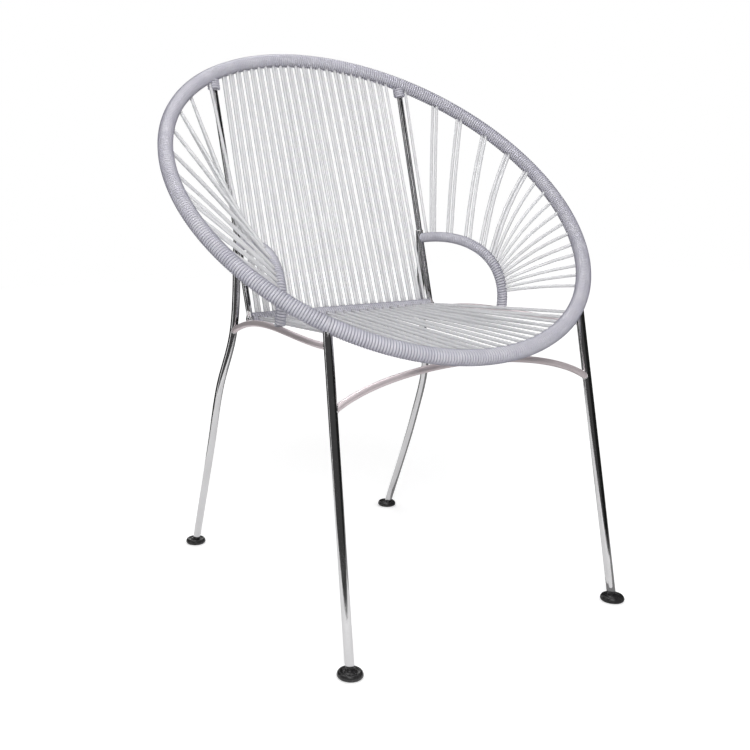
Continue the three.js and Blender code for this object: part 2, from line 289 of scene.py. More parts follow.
def tubes(
    paths: Array, guides: Array, radius: float | Array, sides: int, closed: bool = False
) -> Surface:
    """Round tubes along several paths at once.

    The ring at a point is centre + radius * (cos a * e1 + sin a * e2). Here e1 is the guide made
    square to the path's tangent and e2 is the tangent crossed with e1. An open tube ends in low
    cones, and a closed one joins its last ring to its first.

    Args:
        paths: k tubes of p points each, k by p by 3.
        guides: for each point, roughly which way the first corner of its ring points.
        radius: one radius, or one for each of the p points.
        sides: corners of a ring, an even number.
        closed: whether each path is a loop.

    Returns:
        The surface of all the tubes.
    """
    count, points = paths.shape[:2]
    if closed:
        along = np.roll(paths, -1, axis=1) - np.roll(paths, 1, axis=1)
    else:
        along = np.gradient(paths, axis=1)
    along = unit(along)
    first = unit(guides - dot(guides, along) * along)
    second = np.cross(along, first)
    turn = full_turn(sides)[:, None]
    radii = np.broadcast_to(np.asarray(radius, float), (points,))
    ring = np.cos(turn) * first[:, :, None] + np.sin(turn) * second[:, :, None]
    rings = (paths[:, :, None] + radii[:, None, None] * ring).reshape(-1, 3)
    index = np.arange(len(rings)).reshape(count, points, sides)
    walls = wall_faces(index, closed)
    girth = 2 * np.pi * radii[:, None] * np.arange(sides + 1) / sides
    across = np.broadcast_to(girth, (count, points, sides + 1))
    down = np.broadcast_to(run_lengths(paths)[:, :, None], across.shape)
    here, there = onwards(np.stack([across, down], axis=-1), closed)
    uvs = [here[:, :, :-1], here[:, :, 1:], there[:, :, 1:], there[:, :, :-1]]
    uvs = np.stack(uvs, axis=3).reshape(-1, 4, 2)
    if closed:
        return Surface(rings, walls, uvs)
    reach = along[:, [0, -1]] * (radii[[0, -1], None] * CONE_SHARE * [[-1], [1]])
    tips = (paths[:, [0, -1]] + reach).reshape(-1, 3)
    start, end = (len(rings) + np.arange(len(tips))).reshape(count, 2).T
    caps = [end_faces(start, index[:, 0], True), end_faces(end, index[:, -1], False)]
    bare = np.zeros((sum(map(len, caps)), 4, 2))
    return Surface(np.vstack([rings, tips]), np.vstack([walls, *caps]), np.vstack([uvs, bare]))


def bar(points: Array, radius: float, guide: Array) -> Surface:
    """One bare rod along a list of points."""
    return tubes(points[None], np.broadcast_to(guide, points.shape)[None], radius, ROD_SIDES)


def revolved(outline: Array, centre: Array) -> Surface:
    """A turned solid: an outline of radius and height pairs swept about a vertical axis.

    The point of a pair at angle a is centre + radius * (cos a, sin a) across, and height up.

    Args:
        outline: the pairs, the first and last on the axis, from the bottom up.
        centre: where the axis meets height zero.

    Returns:
        The closed surface.
    """
    turn = full_turn(GLIDE_SIDES)
    spokes = np.stack([np.cos(turn), np.sin(turn), 0 * turn], axis=-1)
    rims = outline[1:-1, None]
    rings = (centre + rims[..., :1] * spokes + rims[..., 1:] * Z_AXIS).reshape(-1, 3)
    tips = centre + outline[[0, -1], 1:] * Z_AXIS
    index = np.arange(len(rings)).reshape(-1, GLIDE_SIDES)
    start, end = len(rings) + np.array([[0], [1]])
    caps = [end_faces(start, index[:1], True), end_faces(end, index[-1:], False)]
    faces = np.vstack([wall_faces(index[None]), *caps])
    vertices = np.vstack([rings, tips])
    return Surface(vertices, faces, vertices[faces][..., :2] - centre[:2])


@dataclass(frozen=True)
class WindingStock:
    """How tightly cord is wound on the rods: it is squeezed a little thinner there.

    Attributes:
        pitch: from turn to turn.
        radius: half the squeezed cord's thickness.
        steps: stretches in a turn.
        sides: faces round the cord.
    """

    pitch: float = 0.0041
    radius: float = 0.00215
    steps: int = 12
    sides: int = 6


class Rod:
    """The middle line of a rod that cord is wound on, with the directions across it.

    The lifted direction is the sitting side of the hoop made square to the rod, and the sideways
    direction is the lifted one crossed with the rod's own.
    """

    def __init__(self, stations: Array, points: Array, radius: float, lift: Array) -> None:
        """Keeps the tables that the rod is read from.

        Args:
            stations: a rising value for each point, such as its angle or share.
            points: the middle line.
            radius: the rod's radius.
            lift: the side that the sitter is on.
        """
        self.stations, self.points, self.radius = stations, points, radius
        self.tangents = unit(np.gradient(points, axis=0))
        self.lifted = unit(lift - dot(lift, self.tangents) * self.tangents)
        self.sideways = np.cross(self.lifted, self.tangents)
        self.lengths = run_lengths(points)

    def read(self, table: Array, stations: Array) -> Array:
        """A table of vectors, read at any stations by straight blending."""
        return np.stack([np.interp(stations, self.stations, column) for column in table.T], axis=-1)

    def winding(self, start: float, end: float, stock: WindingStock) -> Surface:
        """Cord wound round a stretch of the rod, turn against turn, and half a turn over each end.

        A point is the rod's middle plus the winding's radius along cos a * sideways + sin a *
        lifted, with a growing evenly by a whole number of turns over the stretch.

        Args:
            start: the first station.
            end: the last one.
            stock: the pitch and thickness of the turns.

        Returns:
            The wound cord.
        """
        ends = np.interp([start, end], self.stations, self.lengths)
        first, last = ends + stock.pitch / 2 * np.array([-1, 1])
        turns = max(1, round((last - first) / stock.pitch))
        share = np.linspace(0, 1, turns * stock.steps + 1)
        stations = np.interp(first + (last - first) * share, self.lengths, self.stations)
        angle = 2 * np.pi * turns * share[:, None]
        sideways, lifted = (self.read(table, stations) for table in (self.sideways, self.lifted))
        out = np.cos(angle) * sideways + np.sin(angle) * lifted
        reach = self.radius + STOCK.clearance + 2 * STOCK.cord - stock.radius
        path = self.read(self.points, stations) + reach * out
        return tubes(path[None], out[None], stock.radius, stock.sides)


@dataclass
class Panel:
    """Strands of cord strung taut between two wound rods.

    A strand comes out from between the turns on the sitter's face or the back one in turn: its end
    is the rod's middle plus the strand's reach along cos e * towards + sin e * facing, where
    towards is the way to the other rod, square to this one, facing is square to both, and e is the
    entry angle. Between its ends it bends by the sine of its share times pi.

    Attributes:
        upper: the rod of the strands' upper or outer ends, and the stations where they meet it.
        lower: the same for their other ends.
        entry: how far a strand comes out off the panel's middle, in degrees round the rod.
        seed: the number that the small slack of the strands is drawn from.
        slack: how large that is.
        bow: how far the middle of each strand bends back along the upper rod.
        span_shares: the shares of a strand at which it may bend.
    """

    upper: tuple[Rod, Array]
    lower: tuple[Rod, Array]
    entry: float
    seed: int
    slack: float = 0.0005
    bow: Array | float = 0.0
    span_shares: tuple = (0, 0.02, 0.06, 0.15, 0.3, 0.5, 0.7, 0.85, 0.94, 0.98, 1)

    def _ends(self, rod: Rod, stations: Array, other: Rod, others: Array) -> tuple[Array, Array]:
        """Works out the strands' ends on a rod.

        Args:
            rod: the rod.
            stations: where the strands meet it.
            other: the rod at their other ends.
            others: where they meet that one.

        Returns:
            The ends, and the way that each is off the panel's middle.
        """
        middle, tangent = rod.read(rod.points, stations), rod.read(rod.tangents, stations)
        strand = other.read(other.points, others) - middle
        towards = unit(strand - dot(strand, tangent) * tangent)
        facing = np.cross(towards, tangent)
        facing = facing * np.sign(dot(facing, rod.read(rod.lifted, stations)))
        face = np.where(np.arange(len(stations)) % 2 == 0, 1.0, -1.0)[:, None]
        entry = math.radians(self.entry)
        reach = rod.radius + STOCK.clearance + STOCK.cord
        off_middle = math.cos(entry) * towards + math.sin(entry) * face * facing
        return middle + reach * off_middle, facing

    def surface(self) -> Surface:
        """Strings the panel.

        Returns:
            Its strands, as one surface.
        """
        top, guide = self._ends(*self.upper, *self.lower)
        bottom, _ = self._ends(*self.lower, *self.upper)
        share = np.array(self.span_shares)[:, None]
        slack = np.random.default_rng(self.seed).normal(0, self.slack, (len(top), 1, 3))
        rod, stations = self.upper
        along = rod.read(rod.tangents, stations)
        bend = slack - (np.reshape(self.bow, (-1, 1)) * along)[:, None]
        paths = top[:, None] + (bottom - top)[:, None] * share + bend * np.sin(np.pi * share)
        guides = np.broadcast_to(guide[:, None], paths.shape)
        return tubes(paths, guides, STOCK.cord, CORD_SIDES)


class Sheet:
    """Adds and links the nodes of one node tree."""

    def __init__(self, tree: bpy.types.NodeTree) -> None:
        """Keeps the tree."""
        self.tree = tree

    def feed(self, node: Node, inputs: dict) -> Node:
        """Gives a node its inputs.

        Args:
            node: the node.
            inputs: a value or another node's output, for each input by its name or number.

        Returns:
            The node.
        """
        for name, value in inputs.items():
            if isinstance(value, Socket):
                self.tree.links.new(value, node.inputs[name])
            else:
                node.inputs[name].default_value = value
        return node

    def add(self, kind: str, inputs: dict | None = None, **settings: object) -> Node:
        """Adds a node.

        Args:
            kind: the node's type name.
            inputs: its inputs, as feed takes them.
            settings: properties of the node itself.

        Returns:
            The new node.
        """
        node = self.tree.nodes.new(kind)
        for name, value in settings.items():
            setattr(node, name, value)
        return self.feed(node, inputs or {})

    def ramp(self, value: Socket, low: float, high: float, span: tuple = (0.3, 0.7)) -> Socket:
        """A value carried from one range to another, and held at its ends."""
        ends = {"From Min": span[0], "From Max": span[1], "To Min": low, "To Max": high}
        return self.add("ShaderNodeMapRange", {"Value": value, **ends}).outputs["Result"]

    def mix(self, share: Socket, low: tuple | Socket, high: tuple) -> Socket:
        """Blends two colours.

        Args:
            share: how much of the second there is.
            low: the first colour, or another node's output.
            high: the second.

        Returns:
            The colour between them.
        """
        start = low if isinstance(low, Socket) else (*low, 1)
        inputs = {"Factor": share, MIX_FROM: start, MIX_TO: (*high, 1)}
        return self.add("ShaderNodeMix", inputs, data_type="RGBA").outputs[MIX_RESULT]

    def combine(self, operation: str, first: Socket, second: Socket | float) -> Socket:
        """Two values multiplied, or the larger of them, by the Math node's operation."""
        return self.add("ShaderNodeMath", {0: first, 1: second}, operation=operation).outputs[0]

    def bump(self, height: Socket, strength: float, depth: float) -> Socket:
        """The normal of a surface that a height roughens."""
        inputs = {"Height": height, "Strength": strength, "Distance": depth}
        return self.add("ShaderNodeBump", inputs).outputs[0]

    def noise(self, place: Socket, scale: Socket | float, detail: float) -> Socket:
        """Soft noise over a place."""
        inputs = {"Vector": place, "Scale": scale, "Detail": detail}
        return self.add("ShaderNodeTexNoise", inputs).outputs[0]

    def stretched(self, place: Socket, scales: tuple) -> Socket:
        """A place stretched along its axes."""
        return self.add("ShaderNodeMapping", {"Vector": place, "Scale": scales}).outputs[0]


class SharedPattern:
    """A shader node group that materials share: one scale goes in, and values come out."""

    def __init__(self, name: str, *outputs: str) -> None:
        """Starts the group.

        Args:
            name: the group's name.
            outputs: the names of the values that it puts out.
        """
        tree = bpy.data.node_groups.new(name, "ShaderNodeTree")
        tree.interface.new_socket("Scale", in_out="INPUT", socket_type="NodeSocketFloat")
        for label in outputs:
            tree.interface.new_socket(label, in_out="OUTPUT", socket_type="NodeSocketFloat")
        self.sheet = Sheet(tree)
        self.scale = self.sheet.add("NodeGroupInput").outputs["Scale"]
        self.result = self.sheet.add("NodeGroupOutput")
        self.place = self.sheet.add("ShaderNodeTexCoord").outputs

    def put(self, sheet: Sheet, scale: float) -> bpy.types.NodeOutputs:
        """Puts the group into a material, for its outputs."""
        return sheet.add("ShaderNodeGroup", {"Scale": scale}, node_tree=self.sheet.tree).outputs


class HandlingMarks(SharedPattern):
    """Smears and fine scratches that metal and plastic share."""

    # Scale and detail of both noises, what draws the scratches out along Z, and their threshold
    SMEARS = (38.0, 5.0)
    SCRATCHES = (900.0, 3.0)
    SCRATCH_STRETCH = (1.0, 1.0, 0.06)
    SCRATCH_SPAN = (0.42, 0.62)

    def __init__(self) -> None:
        """Builds the group: soft noise for smears and noise drawn out for scratches."""
        super().__init__("Handling marks", "Smears", "Scratches")
        sheet, inputs = self.sheet, {0: self.place["Object"], "Scale": self.scale}
        scaled = sheet.add("ShaderNodeVectorMath", inputs, operation="SCALE").outputs[0]
        fine = sheet.noise(sheet.stretched(scaled, self.SCRATCH_STRETCH), *self.SCRATCHES)
        scratches = sheet.ramp(fine, 0.0, 1.0, self.SCRATCH_SPAN)
        smears = sheet.noise(scaled, *self.SMEARS)
        sheet.feed(self.result, {"Smears": smears, "Scratches": scratches})


class DrawnCord(SharedPattern):
    """Milky clouds and the long die lines of extruded cord, along the piece's own UV map."""

    # Detail of the clouds, scale and detail of the lines, and what draws the lines out
    CLOUD_DETAIL = 4.0
    DIE_LINES = (1.0, 2.0)
    LINE_STRETCH = (1400.0, 14.0, 1.0)

    def __init__(self) -> None:
        """Builds the group: cloudy noise in space and noise stretched along the cord."""
        super().__init__("Drawn cord", "Clouds", "Die lines")
        sheet = self.sheet
        clouds = sheet.noise(self.place["Object"], self.scale, self.CLOUD_DETAIL)
        lines = sheet.noise(sheet.stretched(self.place["UV"], self.LINE_STRETCH), *self.DIE_LINES)
        sheet.feed(self.result, {"Clouds": sheet.ramp(clouds, 0.0, 1.0), "Die lines": lines})


def new_material(name: str, preview: tuple) -> tuple[Material, Sheet, Node]:
    """Starts a material with one Principled shader.

    Args:
        name: the material's name.
        preview: its plain colour.

    Returns:
        The material, the sheet of its nodes and its shader.
    """
    material = bpy.data.materials.new(name)
    material.use_nodes = True
    material.diffuse_color = (*preview, 1)
    tree = material.node_tree
    shader = next(node for node in tree.nodes if node.type == "BSDF_PRINCIPLED")
    return material, Sheet(tree), shader


@dataclass(frozen=True)
class HandledFinish:
    """A hard, glossy finish that handling has marked: by default chrome plate on steel rod.

    Attributes:
        name: the material's name.
        clean: its colour.
        dull: its colour where it is smeared.
        roughness: lowest and highest roughness.
        metallic: how far it is bare plate, where the rest is a dull film.
        marks_scale: how close the marks are.
        relief: strength and depth of the scratches.
    """

    name: str
    clean: tuple = (0.76, 0.76, 0.77)
    dull: tuple = (0.66, 0.65, 0.66)
    roughness: tuple = (0.05, 0.16)
    metallic: float = 1.0
    marks_scale: float = 1.0
    relief: tuple = (0.08, 0.0001)

    def build(self, marks: HandlingMarks) -> Material:
        """Makes the material.

        Args:
            marks: the shared group of smears and scratches.

        Returns:
            The finished material.
        """
        material, sheet, shader = new_material(self.name, self.clean)
        worn = marks.put(sheet, self.marks_scale)
        inputs = {
            "Metallic": self.metallic,
            "Base Color": sheet.mix(worn["Smears"], self.clean, self.dull),
            "Roughness": sheet.ramp(worn["Smears"], *self.roughness),
            "Normal": sheet.bump(worn["Scratches"], *self.relief),
        }
        sheet.feed(shader, inputs)
        return material


@dataclass(frozen=True)
class CordFinish:
    """Clear vinyl cord, a little milky inside, with painted shade that darkens it towards its
    edges.

    Attributes:
        name: the material's name.
        clear: the colour of its clear stretches.
        milky: its colour where it is clouded.
        rim: painted shade, a darker colour blended in towards the edges, where the wall is looked
            along.
        rim_shade_span: how far from facing the painted rim shade begins, and where it is full.
        see_through: how much light passes instead of being scattered.
        roughness: lowest and highest roughness.
        ior: how strongly it bends light.
        cloud_scale: how close the clouds are.
        relief: strength and depth of the die lines.
    """

    name: str
    clear: tuple = (0.865, 0.865, 0.875)
    milky: tuple = (0.80, 0.80, 0.82)
    # The rim colour is painted shade, blended in as the surface turns edge-on
    rim: tuple = (0.74, 0.74, 0.765)
    rim_shade_span: tuple = (0.08, 0.65)
    see_through: float = 0.4
    roughness: tuple = (0.12, 0.2)
    ior: float = 1.48
    cloud_scale: float = 42.0
    relief: tuple = (0.12, 0.0001)

    def build(self, drawn: DrawnCord) -> Material:
        """Makes the material.

        Args:
            drawn: the shared group of clouds and die lines.

        Returns:
            The finished material.
        """
        material, sheet, shader = new_material(self.name, self.clear)
        pattern = drawn.put(sheet, self.cloud_scale)
        # Painted shade: the colour darkens towards the rims as the surface turns away from facing
        facing = sheet.add("ShaderNodeLayerWeight").outputs["Facing"]
        edge = sheet.ramp(facing, 0.0, 1.0, self.rim_shade_span)
        body = sheet.mix(pattern["Clouds"], self.clear, self.milky)
        inputs = {
            "IOR": self.ior,
            "Transmission Weight": self.see_through,
            "Base Color": sheet.mix(edge, body, self.rim),
            "Roughness": sheet.ramp(pattern["Die lines"], *self.roughness),
            "Normal": sheet.bump(pattern["Die lines"], *self.relief),
        }
        sheet.feed(shader, inputs)
        return material


class Finishes:
    """The chair's materials, built once."""

    def __init__(self) -> None:
        """Builds the shared groups and each material."""
        marks, drawn = HandlingMarks(), DrawnCord()
        self.plate = HandledFinish("Chrome plate").build(marks)
        self.satin = HandledFinish(
            "Chrome plate, duller",
            clean=(0.77, 0.69, 0.705),
            dull=(0.68, 0.60, 0.62),
            roughness=(0.3, 0.45),
            metallic=0.5,
        ).build(marks)
        self.cord = CordFinish("Clear vinyl cord").build(drawn)
        self.wound = CordFinish(
            "Clear vinyl cord, wound",
            clear=(0.90, 0.89, 0.94),
            milky=(0.76, 0.75, 0.825),
            # Painted shade, dark at the wound band's rims and between its turns
            rim=(0.43, 0.42, 0.51),
            see_through=0.45,
            roughness=(0.28, 0.38),
        ).build(drawn)
        self.glide = HandledFinish(
            "Black moulded plastic",
            clean=(0.012, 0.012, 0.013),
            dull=(0.035, 0.034, 0.034),
            roughness=(0.12, 0.34),
            metallic=0.0,
            marks_scale=2.2,
            relief=(0.12, 0.0002),
        ).build(marks)


def new_object(name: str, data: bpy.types.ID) -> bpy.types.Object:
    """Makes an object and puts it into the scene.

    Args:
        name: the object's name.
        data: its mesh, lamp or camera.

    Returns:
        The object.
    """
    made = bpy.data.objects.new(name, data)
    bpy.context.scene.collection.objects.link(made)
    return made


def piece(name: str, surface: Surface, material: Material, slot: Slot, *nodes: str) -> None:
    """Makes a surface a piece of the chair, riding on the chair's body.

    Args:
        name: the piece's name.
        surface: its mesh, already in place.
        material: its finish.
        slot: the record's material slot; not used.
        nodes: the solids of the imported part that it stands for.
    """
    mesh = bpy.data.meshes.new(name)
    mesh.from_pydata(surface.vertices, [], surface.faces)
    layer = mesh.uv_layers.new(name="Along")
    layer.data.foreach_set("uv", surface.uvs.astype(np.float32).ravel())
    mesh.polygons.foreach_set("use_smooth", np.ones(len(surface.faces), bool))
    mesh.materials.append(material)
    mesh.update()
    made = new_object(name, mesh)
    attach(made, BODY)
    if nodes:
        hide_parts(*nodes)
    LOG.info("%s: %d vertices, %d faces", name, len(surface.vertices), len(surface.faces))


@dataclass
class ChairFrame:
    """The chair's rods: where each middle line runs, and the meshes along them.

    The hoop's centre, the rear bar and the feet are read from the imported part, and the other
    sizes are the part's own, for its right side. The pulls are the handles that bend a rod.

    Attributes:
        tilt: how far the hoop's back is tipped up.
        post_step: where a post meets the hoop, at 8 of the 88 steps of the hoop's solid.
        rear_bar_overhang: how far the rear bar stands out past the middle of a post.
        side_bar_share: where a side bar meets the front leg, as a share of its height.
        crossbar_share: where the crossbar does.
        back_leg_knots: the points that a back leg passes, the last on the side bar.
        glide_floor: thickness of a glide under its leg.
    """

    tilt: float = math.radians(41.8)
    post_step: float = math.radians(8 * 360 / 88)
    rear_bar_overhang: float = 0.0055
    front_leg_top_x: float = 0.222
    side_bar_share: float = 0.936
    crossbar_share: float = 0.75
    crossbar_pull_x: float = 0.130
    crossbar_pull_z: float = 0.3963
    back_leg_knots: tuple = ((0.212, 0.189, 0.200), (0.210, 0.153, 0.305), (0.1905, 0.137, 0.399))
    back_leg_top_y: float = 0.1335
    side_bar_pull_shares: tuple = (1 / 3, 2 / 3)
    side_bar_pull_z: tuple = (0.446, 0.412)
    arch_post_z: float = 0.538
    arch_landing_y: float = -0.051
    arch_pulls: tuple = ((0.187, 0.020, 0.552), (0.205, -0.075, 0.520))
    glide_floor: float = 0.003

    def __post_init__(self) -> None:
        """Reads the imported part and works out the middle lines, each from the ones before."""
        self._lay_hoop_and_posts()
        self._lay_legs()
        self._lay_bars()

    def _lay_hoop_and_posts(self) -> None:
        """The hoop, the rear bar and the posts between them."""
        low, high = (np.array(corner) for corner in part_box("hoop_rod"))
        self.centre = (low + high) / 2
        self.radius = high[0] - STOCK.frame
        self.lift = np.array([0, -math.sin(self.tilt), math.cos(self.tilt)])
        low, high = (np.array(corner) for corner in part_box("rear_seat_bar"))
        bar_middle = (low + high) / 2 * MIDDLE_PLANE
        self.bar_half = high[0] - self.rear_bar_overhang
        # The readings go on past the bottom, which the seat's winding crosses
        angles = np.linspace(-np.pi, 1.5 * np.pi, HOOP_READINGS)
        self.hoop = Rod(angles, self.hoop_point(angles), STOCK.frame, self.lift)
        reach = np.linspace(-high[0], high[0], REAR_BAR_READINGS)
        line = bar_middle + reach[:, None] * X_AXIS
        self.rear_bar = Rod(reach, line, STOCK.brace, self.lift)
        post_foot = bar_middle + self.bar_half * X_AXIS
        self.post = np.linspace(post_foot, self.hoop_point(self.post_step), POST_POINTS)
        rise = np.linalg.norm(self.post - post_foot, axis=1)
        self.post_rod = Rod(rise, self.post, STOCK.brace, self.lift)

    def _lay_legs(self) -> None:
        """The front leg, straight up to the hoop, and the back one, over its knee to the post."""
        self.front_foot, back_foot = (self._foot(end) for end in ("front", "back"))
        self.leg_angle = np.pi - math.asin(self.front_leg_top_x / self.radius)
        leg_top = self.hoop_point(self.leg_angle)
        share = np.linspace(self.glide_floor / leg_top[2], 1, LEG_POINTS)[:, None]
        self.front_leg = self.front_foot + share * (leg_top - self.front_foot)
        middle = np.array(self.back_leg_knots[0])
        base = back_foot + (middle - back_foot) * self.glide_floor / middle[2]
        joint = self._on_post(1, self.back_leg_top_y)
        self.back_leg = flowing(np.vstack([base, self.back_leg_knots, joint]))

    def _lay_bars(self) -> None:
        """The side bar, the arch above it and the crossbar."""
        rear, front = np.array(self.back_leg_knots[-1]), self._on_front_leg(self.side_bar_share)
        pulls = rear + (front - rear) * np.array(self.side_bar_pull_shares)[:, None]
        pulls[:, 2] = self.side_bar_pull_z
        self.side_bar = bezier(np.vstack([rear, pulls, front]))
        landing = self.side_bar[np.argmin(np.abs(self.side_bar[:, 1] - self.arch_landing_y))]
        start = self._on_post(2, self.arch_post_z)
        arch = bezier(np.vstack([start, self.arch_pulls, landing]), ARCH_READINGS)
        lengths = run_lengths(arch)
        self.arch = Rod(lengths / lengths[-1], arch, STOCK.arch, self.lift)
        end = self._on_front_leg(self.crossbar_share)
        pull = np.array([self.crossbar_pull_x, end[1], self.crossbar_pull_z])
        self.crossbar = bezier(np.array([end * MIRROR, pull * MIRROR, pull, end]))

    def hoop_point(self, angles: Array | float) -> Array:
        """Points on the hoop: centre + radius * (sin a across, cos a up the tilted plane).

        Args:
            angles: one angle or many.

        Returns:
            A point for each.
        """
        up = self.radius * np.cos(angles)
        offset = [self.radius * np.sin(angles), up * math.cos(self.tilt), up * math.sin(self.tilt)]
        return self.centre + np.stack(offset, axis=-1)

    def _foot(self, end: str) -> Array:
        """Where a right leg's line meets the floor."""
        low, high = (np.array(corner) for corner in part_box(f"{end}_glide_right"))
        return (low + high) / 2 * FLOOR_PLANE

    def _on_post(self, axis: int, value: float) -> Array:
        """The point of the right post where the axis of that number has a value."""
        foot, top = self.post[0], self.post[-1]
        return foot + (top - foot) * (value - foot[axis]) / (top[axis] - foot[axis])

    def _on_front_leg(self, share: float) -> Array:
        """The right front leg's point at a share of its height."""
        return self.front_foot + (self.front_leg[-1] - self.front_foot) * share

    def build(self, finishes: Finishes) -> None:
        """Makes the rods.

        Args:
            finishes: the chair's materials.
        """
        plate, satin = finishes.plate, finishes.satin
        loop = self.hoop_point(full_turn(HOOP_STEPS))[None]
        hoop = tubes(loop, loop - self.centre, STOCK.frame, HOOP_SIDES, closed=True)
        piece("hoop_ring", hoop, plate, Slot.ROD, "hoop_rod")
        rear = bar(self.rear_bar.points, STOCK.brace, -Y_AXIS)
        piece("rear_bar", rear, plate, Slot.ROD, "rear_seat_bar")
        bow = bar(self.crossbar, STOCK.brace, -Y_AXIS)
        piece("front_bow", bow, satin, Slot.ROD, "front_crossbar")
        rods = {
            "back_post": (self.post, STOCK.brace, X_AXIS, plate),
            "front_leg": (self.front_leg, STOCK.frame, X_AXIS, plate),
            "back_leg": (self.back_leg, STOCK.frame, X_AXIS, plate),
            "side_bar": (self.side_bar, STOCK.brace, Z_AXIS, satin),
            "side_arch": (self.arch.points[::ARCH_THINNING], STOCK.arch, X_AXIS, plate),
        }
        for name, (*shape, finish) in rods.items():
            right = bar(*shape)
            for side in Side:
                node = f"{name}_{side.word}"
                piece(f"{name}_rod_{side.word}", right.on(side), finish, Slot.ROD, node)


@dataclass
class WeldBeads:
    """Plated weld beads where the bare rods meet.

    Attributes:
        frame: the chair's rods.
        bead: half a bead's thickness, without its ripples.
        ripple_share: how much of it the ripples add and take away.
        ripples: how many there are round a bead.
        points: stretches round a bead.
        knee_points: two points of the back leg, before and past the side bar.
        landing_points: two points of the side bar, before and past the arch.
    """

    frame: ChairFrame
    bead: float = 0.0009
    ripple_share: float = 0.22
    ripples: int = 13
    points: int = 78
    knee_points: tuple = (67, 77)
    landing_points: tuple = (86, 90)

    def _bead(self, line: Array, radius: float, onto: Array, onto_radius: float) -> Surface:
        """A bead round the foot of one rod on the side of another.

        A point of the seam lies radius off the first rod's line and onto_radius off the second's:
        w + s * along, with w round the first rod and s the larger root of the square equation.

        Args:
            line: the first rod's middle line, from where the two middle lines meet.
            radius: its radius.
            onto: the second rod's direction.
            onto_radius: its radius.

        Returns:
            The bead as a closed, rippled ring.
        """
        along, onto = unit(way(line, 0, 2)), unit(onto)
        first = unit(np.cross(along, onto))
        second = np.cross(along, first)
        turn = full_turn(self.points)[:, None]
        round_rod = radius * (np.cos(turn) * first + np.sin(turn) * second)
        slope = float(along @ onto)
        square = 1 - slope**2
        half = -(round_rod @ onto) * slope
        rest = radius**2 - (round_rod @ onto) ** 2 - onto_radius**2
        reach = (-half + np.sqrt(np.maximum(half**2 - square * rest, 0))) / square
        seam = line[0] + round_rod + reach[:, None] * along
        ripple = 1 + self.ripple_share * np.cos(self.ripples * turn[:, 0])
        return tubes(seam[None], round_rod[None], self.bead * ripple, BEAD_SIDES, closed=True)

    def build(self, finishes: Finishes) -> None:
        """Makes both sides' beads.

        Args:
            finishes: the chair's materials.
        """
        frame = self.frame
        arch, side_bar = frame.arch.points, frame.side_bar
        leg_way, knee_way = way(frame.front_leg), way(frame.back_leg, *self.knee_points)
        joints = [
            (frame.post, STOCK.brace, X_AXIS, STOCK.brace),
            (frame.crossbar[::-1], STOCK.brace, leg_way, STOCK.frame),
            (side_bar[::-1], STOCK.brace, leg_way, STOCK.frame),
            (side_bar, STOCK.brace, knee_way, STOCK.frame),
            (arch[::2], STOCK.arch, way(frame.post), STOCK.brace),
            (arch[::-2], STOCK.arch, way(side_bar, *self.landing_points), STOCK.brace),
        ]
        right = Surface.joined([self._bead(*joint) for joint in joints])
        for side in Side:
            piece(f"weld_beads_{side.word}", right.on(side), finishes.plate, Slot.ROD)


